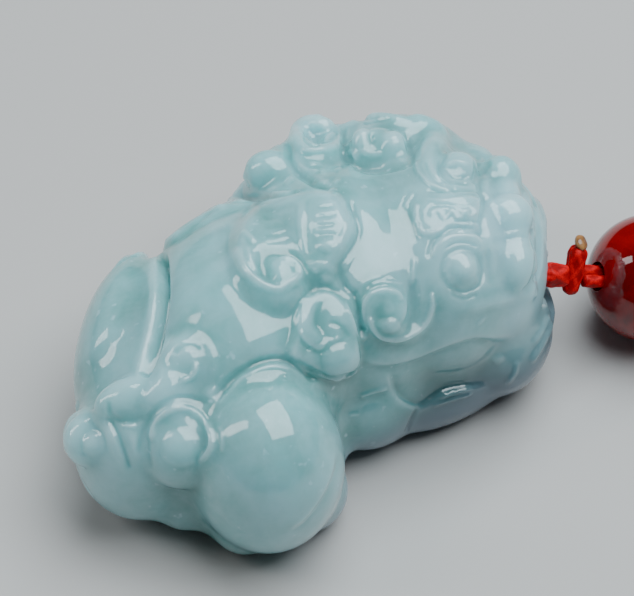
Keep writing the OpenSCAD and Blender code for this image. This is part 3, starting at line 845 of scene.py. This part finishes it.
eyeCuts = [
    ("plate", 0.5, 0.2, [(7.3, 6.6), (8.3, 7.3), (10, 7.5), (11.9, 7.3), (12, 5.1), (11.3, 4.8),
        (9.6, 4.9), (8, 4.7), (7.3, 5.4), (7.3, 6.6)]),
    ("line", 0.35, -0.15, ringPoints(10.6, 2, 1.55)),
    ("line", 0.17, 0.12, [(8.4, 3.1), (8.7, 3.8), (9.3, 4.3), (10.3, 4.55), (11.4, 4.5), (12.1, 4.1)]),
    ("line", 0.2, -0.1, [(9.3, 3.6), (10, 3.95), (10.9, 4), (11.7, 3.7)]),
    ("line", 0.18, -0.12, [(9.7, 0.3), (10.7, -0.05), (11.7, 0.3)]),
    ("line", 0.25, -0.2, [(8.1, 2.9), (8.5, 4.2), (9.7, 5), (11.2, 5), (12.2, 4.4)]),
    ("line", 0.25, 0.13, [(8.1, 5.9), (8.8, 6.3), (9.2, 5.7), (9.8, 6.3), (10.2, 5.7), (10.7, 6.3),
        (11.1, 5.9), (11.7, 6.4)]),
    ("line", 0.2, -0.14, [(8.2, 6.6), (9.4, 6.7), (10.6, 6.6), (11.6, 6.8)]),
    ("line", 0.22, 0.18, [(7.3, 6.9), (7.1, 6), (7.4, 5.1), (7.7, 4.7), (8.6, 4.7), (9.4, 5)]),
]
noseCuts = [
    ("line", 0.4, -0.12, [(12.4, 7.4), (13.2, 7.5), (14.2, 7.6), (15.2, 7.7)]),
    ("line", 0.4, -0.1, [(12.7, 4.2), (13.6, 4.2), (14.6, 4.35), (15.6, 4.6)]),
    ("line", 0.5, -0.3, [(12.6, 10.2), (12, 9), (11.9, 8), (12.2, 7.2), (12, 6.2), (11.9, 5.2),
        (12.3, 4.3)]),
    ("dome", (1.3, 1.3), -0.15, [(12.6, 2.3)]),
    ("line", 0.4, -0.12, [(12.1, 4.6), (12.5, 3.6), (12.6, 2.5), (12.7, 0.8)]),
    ("line", 0.35, -0.25, [(15.5, 8.8), (15.9, 6.6), (16.1, 5), (16.1, 3.4), (16, 2.2), (15.6, 1),
        (14.9, 0.3)]),
]
mouthCuts = [
    ("step", 1.5, 0.45, [(3, -4.7), (5, -4.9), (7, -4.5), (8.5, -3.9), (10, -3.3), (11.5, -2.9),
        (13, -3), (14.3, -3)]),
    ("line", 0.3, 0.2, [(16.8, -1.2), (16.4, -2.2), (15.7, -3.3)]),
    ("line", 0.3, 0.25, [(17.1, -1.5), (16.5, -3), (15.5, -4.7)]),
    ("line", 0.25, 0.2, [(14.6, -4.5), (14.3, -5.5), (13.7, -6.2)]),
    ("line", 0.2, 0.12, [(12.2, -1.4), (11.6, -2)]),
    ("dome", (0.5, 0.4), 0.2, [(13.1, -4.4)]),
]
pawCuts = [
    ("step", 1.2, -0.5, [(5.2, -5.2), (5.5, -6.5), (6.2, -7.4), (7.4, -7.8), (8.2, -7.4), (9.3, -6.7),
        (11.1, -6.4), (12.4, -6.2)]),
    ("line", 0.2, -0.2, [(7.2, -7.9), (6.9, -8.8), (6.5, -9.8)]),
    ("line", 0.2, 0.2, [(8.3, -7.75), (9.5, -7.4), (11.2, -6.9)]),
    ("line", 0.2, 0.2, [(9, -7.1), (10, -6.75), (11.2, -6.45)]),
    ("line", 0.25, 0.2, [(3, -7.15), (4, -6.8), (5.1, -6.5)]),
    ("line", 0.2, 0.15, [(2.3, -8.5), (3, -8.4)]),
]
nearCuts = (tailCuts + haunchCuts + wingCuts + middleCurlCuts + cheekCurlCuts + neckCuts + maneCuts
            + hornCuts + eyeCuts + noseCuts + mouthCuts + pawCuts)

# The face seen from the front: nostrils, lips, teeth round the drilled hole, and the beard
frontCuts = [
    ("dome", (0.75, 0.6), -0.8, [(-0.9, 1)]),
    ("dome", (0.75, 0.6), -0.8, [(2.7, 1.2)]),
    ("line", 0.45, -0.45, [(-4, 0.1), (-2.4, -0.3), (-0.8, 0.1), (0.9, -0.4), (2.6, 0.2), (4.2, -0.1),
        (6.2, 0.4)]),
    ("line", 0.35, -0.3, [(0.9, -0.3), (0.8, -1.3)]),
    ("plate", 0.45, -0.65, [(-4.9, -3.2), (-3, -2.2), (0.4, -1.8), (3.8, -2), (6, -3), (5.6, -5.2),
        (3.2, -6.6), (0.4, -6.9), (-2.6, -6.5), (-4.5, -5), (-4.9, -3.2)]),
    ("line", 0.5, 0.25, [(-5.4, -3.1), (-3.2, -1.6), (0.4, -1.2), (4, -1.4), (6.6, -2.7)]),
    ("line", 0.5, 0.25, [(-5, -5.2), (-2.8, -7.1), (0.4, -7.5), (3.4, -7.2), (6.2, -5.5)]),
    ("dome", (0.5, 1), 0.5, [(-4.3, -3.7)]),
    ("dome", (0.5, 1), 0.5, [(5.1, -3.6)]),
    ("line", 0.3, -0.25, ringPoints(4.4, 5.4, 1.6)),
    ("line", 0.4, -0.3, [(6.9, 0.2), (8.2, -1.2), (8.8, -3.4), (8.3, -5.4)]),
    ("line", 0.35, -0.25, [(8, 1.6), (9.6, 0.2), (10.3, -2)]),
    ("line", 0.35, -0.25, [(7.2, 3.2), (9, 2.8), (10.8, 1.4)]),
]
frontCuts += [("dome", (0.66, 0.85), 0.55, [(u, -2.9)]) for u in (-3.2, -1.8, -0.4, 1, 2.4, 3.8)]
frontCuts += [("dome", (0.62, 0.65), 0.5, [(u, -6)]) for u in (-2.5, -1.2, 0.1, 1.4, 2.7)]
frontCuts += [("line", 0.25, -0.2, [(u, -7.9), (u * 1.1, -8.6), (u * 1.3, -9.3)])
              for u in (-3, -1.6, -0.2, 1.2, 2.6)]

# The far flank, which the photograph doesn't show: an answer to the near one
farHaunchEdge = [(8, -5), (8.2, -1.6), (9.7, 1.4), (12, 3.2), (15.4, 3.6)]
farCuts = [
    ("step", 1.6, -0.8, farHaunchEdge),
    ("line", 0.3, -0.2, farHaunchEdge),
    ("line", 0.3, 0.2, [(9.4, -3), (9.8, -0.6), (11, 1.2), (13, 2.2)]),
    ("plate", 0.5, 0.6, [(0, 2.4), (0.4, 3.9), (1.9, 5), (4.2, 5.2), (6.4, 4.8), (7.8, 3.4), (8, 1.7),
        (6.9, 0.5), (5.6, 0), (5, -1.2), (3.8, -2.2), (2, -2.4), (0.5, -1.6), (-0.2, 0), (0, 2.4)]),
    ("line", 0.45, -0.3, ringPoints(2.5, -0.4, 1.5)),
    ("dome", (1.1, 1.1), 0.4, [(2.5, -0.4)]),
    ("line", 0.3, 0.25, [(5, 0.6), (3.6, 1.7), (1.8, 1.6), (0.6, 0.6), (0.3, -0.8), (1.3, -1.9),
        (2.9, -2)]),
    ("line", 0.5, 0.15, [(3.5, 4.7), (3.6, 3.4), (3.9, 2)]),
    ("step", 1.2, 0.5, [(-0.2, -6.4), (-0.6, -5), (-0.4, -3.6)]),
    ("line", 0.45, -0.4, [(-8.2, 4), (-8.8, 2), (-8.3, 0), (-8.5, -2.2), (-7.8, -4.4)]),
    ("line", 0.3, -0.2, [(-5.2, 1.2), (-6.5, 0.5), (-7.6, 0.6)]),
    ("line", 0.3, -0.2, [(-2, 3.9), (-2.9, 2.6), (-2.6, 1.4), (-1.7, 0.4)]),
    ("line", 0.3, -0.2, [(-3.5, 3.9), (-4.2, 2.9), (-3.9, 1.8), (-2.8, 0.7)]),
    ("line", 0.3, -0.2, [(-10.6, 3.4), (-11.3, 2.2), (-10.9, 1)]),
    ("line", 0.3, -0.2, [(-12.2, 3.4), (-12.8, 2.4), (-12.4, 1.3)]),
    ("line", 0.3, -0.2, [(-13.6, 2.8), (-14.2, 1.8), (-14, 0.9)]),
    ("step", 1, 0.5, [(-15.8, -4.6), (-13.6, -5.2), (-11, -5.2), (-9, -4.6)]),
    ("line", 0.45, -0.35, [(-8.4, -8), (-8.4, -6.4), (-7.2, -5.4)]),
    ("line", 0.25, -0.2, [(-1.8, -6.2), (-3.6, -6.6), (-5.6, -6.3)]),
]
farCuts += [("line", 0.22, -0.14, [(4.2, v - 0.1), (5.6, v + 0.1), (7, v + 0.1)])
            for v in (4.1, 3.4, 2.7, 2, 1.4)]
farCuts += [("line", 0.22, -0.14, [(0.7, v), (1.7, v + 0.2), (2.9, v)]) for v in (4.1, 3.4, 2.7)]
farCuts += [("line", 0.28, -0.25, [(u, -8.2), (u + 0.1, -7.2), (u + 0.5, -6.3)]) for u in (5.9, 7.1, 8.3)]
farCuts += [("line", 0.28, -0.25, [(u, -8.2), (u + 0.1, -7), (u + 0.5, -6)]) for u in (-15.4, -14.1, -12.8)]

# The back: strands of the tail on the rump, the far haunch's edge, the line of the spine, the heels
rearCuts = [
    ("step", 1.4, 0.5, [(1.2, -9), (1.3, -6), (0.7, -3.2), (-1, -1.2), (-3.4, -0.6)]),
    ("line", 0.45, -0.25, [(-0.4, 5.6), (0.6, 3.6), (1.8, 1.4), (2.8, -0.6)]),
    ("line", 0.3, -0.25, [(11.2, -11), (11, -9.6)]),
    ("line", 0.3, -0.25, [(12.4, -10.8), (12.3, -9.4)]),
]
rearCuts += [("line", 0.4, -0.3, [(u, -7.6), (u - 0.2, -9.2), (u + 0.3, -11.4)])
             for u in (3.4, 4.9, 6.4, 7.9)]

# The near flank low down: the elbow's fold and the paw's upper edge
flankCuts = [
    ("line", 0.35, -0.25, [(-0.6, -7), (-0.2, -5.2), (0, -3.2)]),
    ("line", 0.3, 0.2, [(4.6, -4.6), (7.4, -4.3), (10.4, -4.4)]),
]

carved = Stone(beast)
for sheet, rows in (("near", nearCuts), ("front", frontCuts), ("far", farCuts), ("rear", rearCuts),
                    ("flank", flankCuts)):
    for row in rows:
        carved.cut(sheet, row)
    print("cuts made from the side", sheet, len(rows))
carved.finish()
applyModifier(beast, "SMOOTH", factor=0.5, iterations=carving["polish"])
applyModifier(beast, "DECIMATE", ratio=carving["triangles"] / (2 * len(beast.data.polygons)))


# Move the carving to the frame's origin and cut it flat where it lies
def layFlat(piece):
    pick(piece)
    piece.location = Vector(-drawnMiddle * mm)
    settle(piece)
    bpy.ops.object.mode_set(mode="EDIT")
    bpy.ops.mesh.select_all(action="SELECT")
    bpy.ops.mesh.bisect(plane_co=(0, 0, 0), plane_no=(0, 0, 1), use_fill=True, clear_inner=True,
                        threshold=1e-6)
    bpy.ops.object.mode_set(mode="OBJECT")
    piece.data.shade_smooth()


def markHollows(piece):
    # How far each corner lies below (or above) its surroundings, kept for the stone's painted shade in
    # hollows and painted highlight on crests
    co = corners(piece.data) / mm
    net = netOf(piece.data)
    smooth = co.copy()
    for _ in range(carving["hollowRounds"]):
        smooth = (smooth + averaged(smooth, net)) / 2
    depth = ((smooth - co) * cornerNormals(piece.data)).sum(1) / carving["hollowDepth"]
    mark = piece.data.attributes.new("hollowForPaintedLight", "FLOAT", "POINT")
    mark.data.foreach_set("value", np.clip(depth * 0.5 + 0.5, 0, 1).astype(np.float32))


layFlat(beast)
markHollows(beast)
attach(beast, "root")
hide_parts("jade_beast")
print("carving laid flat:", len(beast.data.polygons))


# Materials: small helpers for the node trees
def newMaterial(name):
    material = bpy.data.materials.new(name)
    material.use_nodes = True
    tree = material.node_tree
    where = tree.nodes.new("ShaderNodeTexCoord").outputs["Object"]
    return material, tree, tree.nodes["Principled BSDF"], where


def setShader(shader, values):
    for name, value in values.items():
        shader.inputs[name].default_value = value


def addNode(tree, kind, values=None, **settings):
    node = tree.nodes.new(kind)
    for key, value in settings.items():
        setattr(node, key, value)
    for key, value in (values or {}).items():
        if isinstance(value, bpy.types.NodeSocket):
            tree.links.new(value, node.inputs[key])
        else:
            node.inputs[key].default_value = value
    return node


def cloudNode(tree, where, scale, detail=3, roughness=0.5, distortion=0.0):
    values = {"Vector": where, "Scale": scale, "Detail": detail, "Roughness": roughness,
              "Distortion": distortion}
    return addNode(tree, "ShaderNodeTexNoise", values).outputs["Fac"]


def rampNode(tree, factor, *stops):
    node = addNode(tree, "ShaderNodeValToRGB", {"Fac": factor})
    ramp = node.color_ramp
    while len(ramp.elements) < len(stops):
        ramp.elements.new(1)
    for element, (place, strength) in zip(ramp.elements, stops):
        element.position = place
        element.color = (strength, strength, strength, 1)
    return node.outputs["Color"]


def blendNode(tree, factor, first, second):
    node = addNode(tree, "ShaderNodeMix", data_type="RGBA")
    for place, value in ((0, factor), (6, first), (7, second)):
        if isinstance(value, bpy.types.NodeSocket):
            tree.links.new(value, node.inputs[place])
        else:
            node.inputs[place].default_value = (*value, 1) if isinstance(value, tuple) else value
    return node.outputs[2]


def mathNode(tree, kind, first, second=0.0):
    node = addNode(tree, "ShaderNodeMath", {0: first, 1: second}, operation=kind)
    return node.outputs[0]


def rangeNode(tree, value, low, high):
    node = addNode(tree, "ShaderNodeMapRange", {"Value": value, "From Min": low, "From Max": high},
                   interpolation_type="SMOOTHSTEP")
    return node.outputs[0]


def bumpNode(tree, height, strength, distance):
    values = {"Height": height, "Strength": strength, "Distance": distance}
    return addNode(tree, "ShaderNodeBump", values).outputs["Normal"]


# The green stone: clouds, grain and a white veil, paler ends (partly the stone's whiter tone, partly
# painted light), crests painted paler and hollows painted darker, a painted shade on the lower front, and
# lavender feet darkened as painted shade. Ramps are pairs of a place and a strength, heights and reaches
# are in metres.
greenStone = {
    "deep": (0.14, 0.34, 0.32), "pale": (0.23, 0.55, 0.56), "white": (0.52, 0.79, 0.86),
    "lavenderAndShade": (0.15, 0.19, 0.27), "shade": (0.03, 0.1, 0.1),
    "cloudScale": 118, "cloudRamp": ((0.32, 0.1), (0.66, 1)),
    "grainScale": 520, "grainRamp": ((0.4, 0), (0.75, 0.3)),
    "veilScale": 70, "veilRamp": ((0.46, 0), (0.7, 0.75)),
    "middle": -0.002, "paleEndsAndPaintedLight": (0.004, 0.018), "endVeilAndPaintedLight": 0.14,
    "paintedHollowShadeRamp": ((0.5, 0), (0.95, 0.12)), "paintedRidgeLightRamp": ((0.05, 0.35), (0.5, 0)),
    "speckScale": 1400, "speckRamp": ((0.7, 0), (0.8, 0.5)),
    "shadeHeights": (0.0105, 0.004), "shadeReach": (-0.003, 0.006), "shadeStrength": 0.85,
    "lowEdge": (0.006, 0.002), "lowSlope": 0.12, "lowReach": (-0.011, -0.006), "lowStrength": 0.65,
    "waveScale": 300, "wave": 0.015, "roughness": 0.07, "ior": 1.66, "coat": 0.15, "coatRoughness": 0.03,
    "scatter": 1, "scatterScale": 0.004, "scatterRadius": (0.85, 1, 0.97),
}


def makeGreenStone():
    material, tree, shader, where = newMaterial("greenStone")
    look = greenStone
    x, _, z = addNode(tree, "ShaderNodeSeparateXYZ", {"Vector": where}).outputs
    cloud = cloudNode(tree, where, look["cloudScale"], 4, 0.55, 0.4)
    colour = blendNode(tree, rampNode(tree, cloud, *look["cloudRamp"]), look["deep"], look["pale"])
    grain = cloudNode(tree, where, look["grainScale"], 3, 0.6, 0.3)
    colour = blendNode(tree, rampNode(tree, grain, *look["grainRamp"]), colour, look["white"])
    veil = cloudNode(tree, where, look["veilScale"], 3, 0.5, 0.6)
    # Paler ends: the stone's whiter tone at the head, and partly painted light brightening the tail end
    ends = mathNode(tree, "ABSOLUTE", mathNode(tree, "SUBTRACT", x, look["middle"]))
    ends = mathNode(tree, "MULTIPLY", rangeNode(tree, ends, *look["paleEndsAndPaintedLight"]), look["endVeilAndPaintedLight"])
    veil = mathNode(tree, "ADD", veil, ends)
    colour = blendNode(tree, rampNode(tree, veil, *look["veilRamp"]), colour, look["white"])
    # Painted shade: hollows blended toward the deep green. Painted highlight: crests blended toward white.
    hollowForPaintedLight = addNode(tree, "ShaderNodeAttribute", attribute_name="hollowForPaintedLight").outputs["Fac"]
    colour = blendNode(tree, rampNode(tree, hollowForPaintedLight, *look["paintedHollowShadeRamp"]), colour, look["deep"])
    colour = blendNode(tree, rampNode(tree, hollowForPaintedLight, *look["paintedRidgeLightRamp"]), colour, look["white"])
    speck = cloudNode(tree, where, look["speckScale"], 1)
    colour = blendNode(tree, rampNode(tree, speck, *look["speckRamp"]), colour, look["white"])
    # Painted shade: the lower front, jaw and paws darkened toward a dark green-grey, by height and reach
    shaded = mathNode(tree, "MULTIPLY", rangeNode(tree, z, *look["shadeHeights"]),
                      rangeNode(tree, x, *look["shadeReach"]))
    shaded = mathNode(tree, "MULTIPLY", shaded, look["shadeStrength"])
    colour = blendNode(tree, shaded, colour, look["shade"])
    # Lavender low edge: partly the stone's own lavender tone, partly painted shade darkening the feet and
    # lowest edge
    low = mathNode(tree, "SUBTRACT", z, mathNode(tree, "MULTIPLY", x, look["lowSlope"]))
    low = mathNode(tree, "MULTIPLY", rangeNode(tree, low, *look["lowEdge"]),
                   rangeNode(tree, x, *look["lowReach"]))
    low = mathNode(tree, "MULTIPLY", low, look["lowStrength"])
    colour = blendNode(tree, low, colour, look["lavenderAndShade"])
    tree.links.new(colour, shader.inputs["Base Color"])
    wave = cloudNode(tree, where, look["waveScale"], 2)
    tree.links.new(bumpNode(tree, wave, look["wave"], 0.001), shader.inputs["Normal"])
    setShader(shader, {
        "Roughness": look["roughness"], "IOR": look["ior"], "Coat Weight": look["coat"],
        "Coat Roughness": look["coatRoughness"], "Subsurface Weight": look["scatter"],
        "Subsurface Radius": look["scatterRadius"], "Subsurface Scale": look["scatterScale"],
    })
    return material


beast.data.materials.append(makeGreenStone())
print("green stone made")

redCord = {
    "deep": (0.2, 0.0, 0.002), "bright": (0.8, 0.001, 0.004), "paintedRidgeLightRamp": ((0.3, 0), (0.8, 1)),
    "fibreScale": 9000, "fibreRamp": ((0.3, 0.5), (0.6, 0)), "fibre": 0.25, "roughness": 0.5,
    "gloss": 0.2, "sheen": 0.04, "sheenTint": (1, 0.2, 0.2, 1),
}
redStone = {
    "deep": (0.15, 0.0, 0.001), "bright": (0.42, 0.002, 0.003), "cloudScale": 260,
    "cloudRamp": ((0.35, 0), (0.7, 1)), "roughness": 0.05, "ior": 1.54, "coat": 0.3, "scatter": 0.3,
    "scatterScale": 0.0015, "scatterRadius": (1, 0.1, 0.05),
}
meltedEnd = {
    "dark": (0.07, 0.018, 0.006), "gold": (0.45, 0.2, 0.07), "cloudScale": 1500,
    "cloudRamp": ((0.35, 0), (0.6, 1)), "roughness": 0.3, "coat": 0.5,
}


def makeRedCord():
    material, tree, shader, where = newMaterial("redCord")
    # Painted shade and highlight: the braid darker in the grooves between strands, brighter on their ridges
    ridge = addNode(tree, "ShaderNodeAttribute", attribute_name="ridge").outputs["Fac"]
    ridge = rampNode(tree, ridge, *redCord["paintedRidgeLightRamp"])
    colour = blendNode(tree, ridge, redCord["deep"], redCord["bright"])
    fibre = cloudNode(tree, where, redCord["fibreScale"], 3)
    colour = blendNode(tree, rampNode(tree, fibre, *redCord["fibreRamp"]), colour, redCord["deep"])
    tree.links.new(colour, shader.inputs["Base Color"])
    tree.links.new(bumpNode(tree, fibre, redCord["fibre"], 0.0001), shader.inputs["Normal"])
    setShader(shader, {
        "Roughness": redCord["roughness"], "Specular IOR Level": redCord["gloss"],
        "Sheen Weight": redCord["sheen"], "Sheen Tint": redCord["sheenTint"],
    })
    return material


def makeRedStone():
    material, tree, shader, where = newMaterial("redStone")
    cloud = cloudNode(tree, where, redStone["cloudScale"], 4, 0.6, 0.8)
    cloud = rampNode(tree, cloud, *redStone["cloudRamp"])
    colour = blendNode(tree, cloud, redStone["deep"], redStone["bright"])
    tree.links.new(colour, shader.inputs["Base Color"])
    setShader(shader, {
        "Roughness": redStone["roughness"], "IOR": redStone["ior"], "Coat Weight": redStone["coat"],
        "Subsurface Weight": redStone["scatter"], "Subsurface Radius": redStone["scatterRadius"],
        "Subsurface Scale": redStone["scatterScale"],
    })
    return material


def makeMeltedEnd():
    material, tree, shader, where = newMaterial("meltedCordEnd")
    cloud = cloudNode(tree, where, meltedEnd["cloudScale"], 3)
    cloud = rampNode(tree, cloud, *meltedEnd["cloudRamp"])
    colour = blendNode(tree, cloud, meltedEnd["dark"], meltedEnd["gold"])
    tree.links.new(colour, shader.inputs["Base Color"])
    setShader(shader, {"Roughness": meltedEnd["roughness"], "Coat Weight": meltedEnd["coat"]})
    return material


redCordMaterial = makeRedCord()
for piece in (loopPiece, wrapPiece, knotPiece, threadPiece):
    piece.data.materials.append(redCordMaterial)
beadPiece.data.materials.append(makeRedStone())
tipPiece.data.materials.append(makeMeltedEnd())
print("red cord, bead and tip finished")

# Floor, softboxes (the way to each from the middle, distance, size, power, tint) and the room
stage = {
    "floor": (0.55, 0.515, 0.5), "size": 1.6, "drop": 0.00002, "roughness": 0.5,
    "room": (0.8, 0.87, 0.92, 1), "roomStrength": 0.05,
}
softboxes = {
    "overheadSoftbox": ((0.32, -0.02, 0.94), 0.42, (0.46, 0.34), 3.1, (0.83, 0.95, 1)),
    "backSoftbox": ((-0.6, 0.5, 0.62), 0.45, (0.1, 0.34), 0.6, (0.94, 0.98, 1)),
}


def addStage():
    bpy.ops.mesh.primitive_plane_add(size=stage["size"], location=(0, 0, -stage["drop"]))
    floor = bpy.context.active_object
    floor.name = "floor"
    material = bpy.data.materials.new("paleFloor")
    material.use_nodes = True
    shader = material.node_tree.nodes["Principled BSDF"]
    shader.inputs["Base Color"].default_value = (*stage["floor"], 1)
    shader.inputs["Roughness"].default_value = stage["roughness"]
    floor.data.materials.append(material)


def addSoftbox(name, way, distance, size, power, tint):
    data = bpy.data.lights.new(name, "AREA")
    data.shape = "RECTANGLE"
    data.size, data.size_y = size
    data.energy = power
    data.color = tint
    light = bpy.data.objects.new(name, data)
    bpy.context.scene.collection.objects.link(light)
    way = Vector(way).normalized()
    light.location = way * distance
    light.rotation_euler = way.to_track_quat("Z", "Y").to_euler()


addStage()
for name, row in softboxes.items():
    addSoftbox(name, *row)
world = bpy.data.worlds.new("studio")
world.use_nodes = True
background = world.node_tree.nodes["Background"]
background.inputs["Color"].default_value = stage["room"]
background.inputs["Strength"].default_value = stage["roomStrength"]
bpy.context.scene.world = world
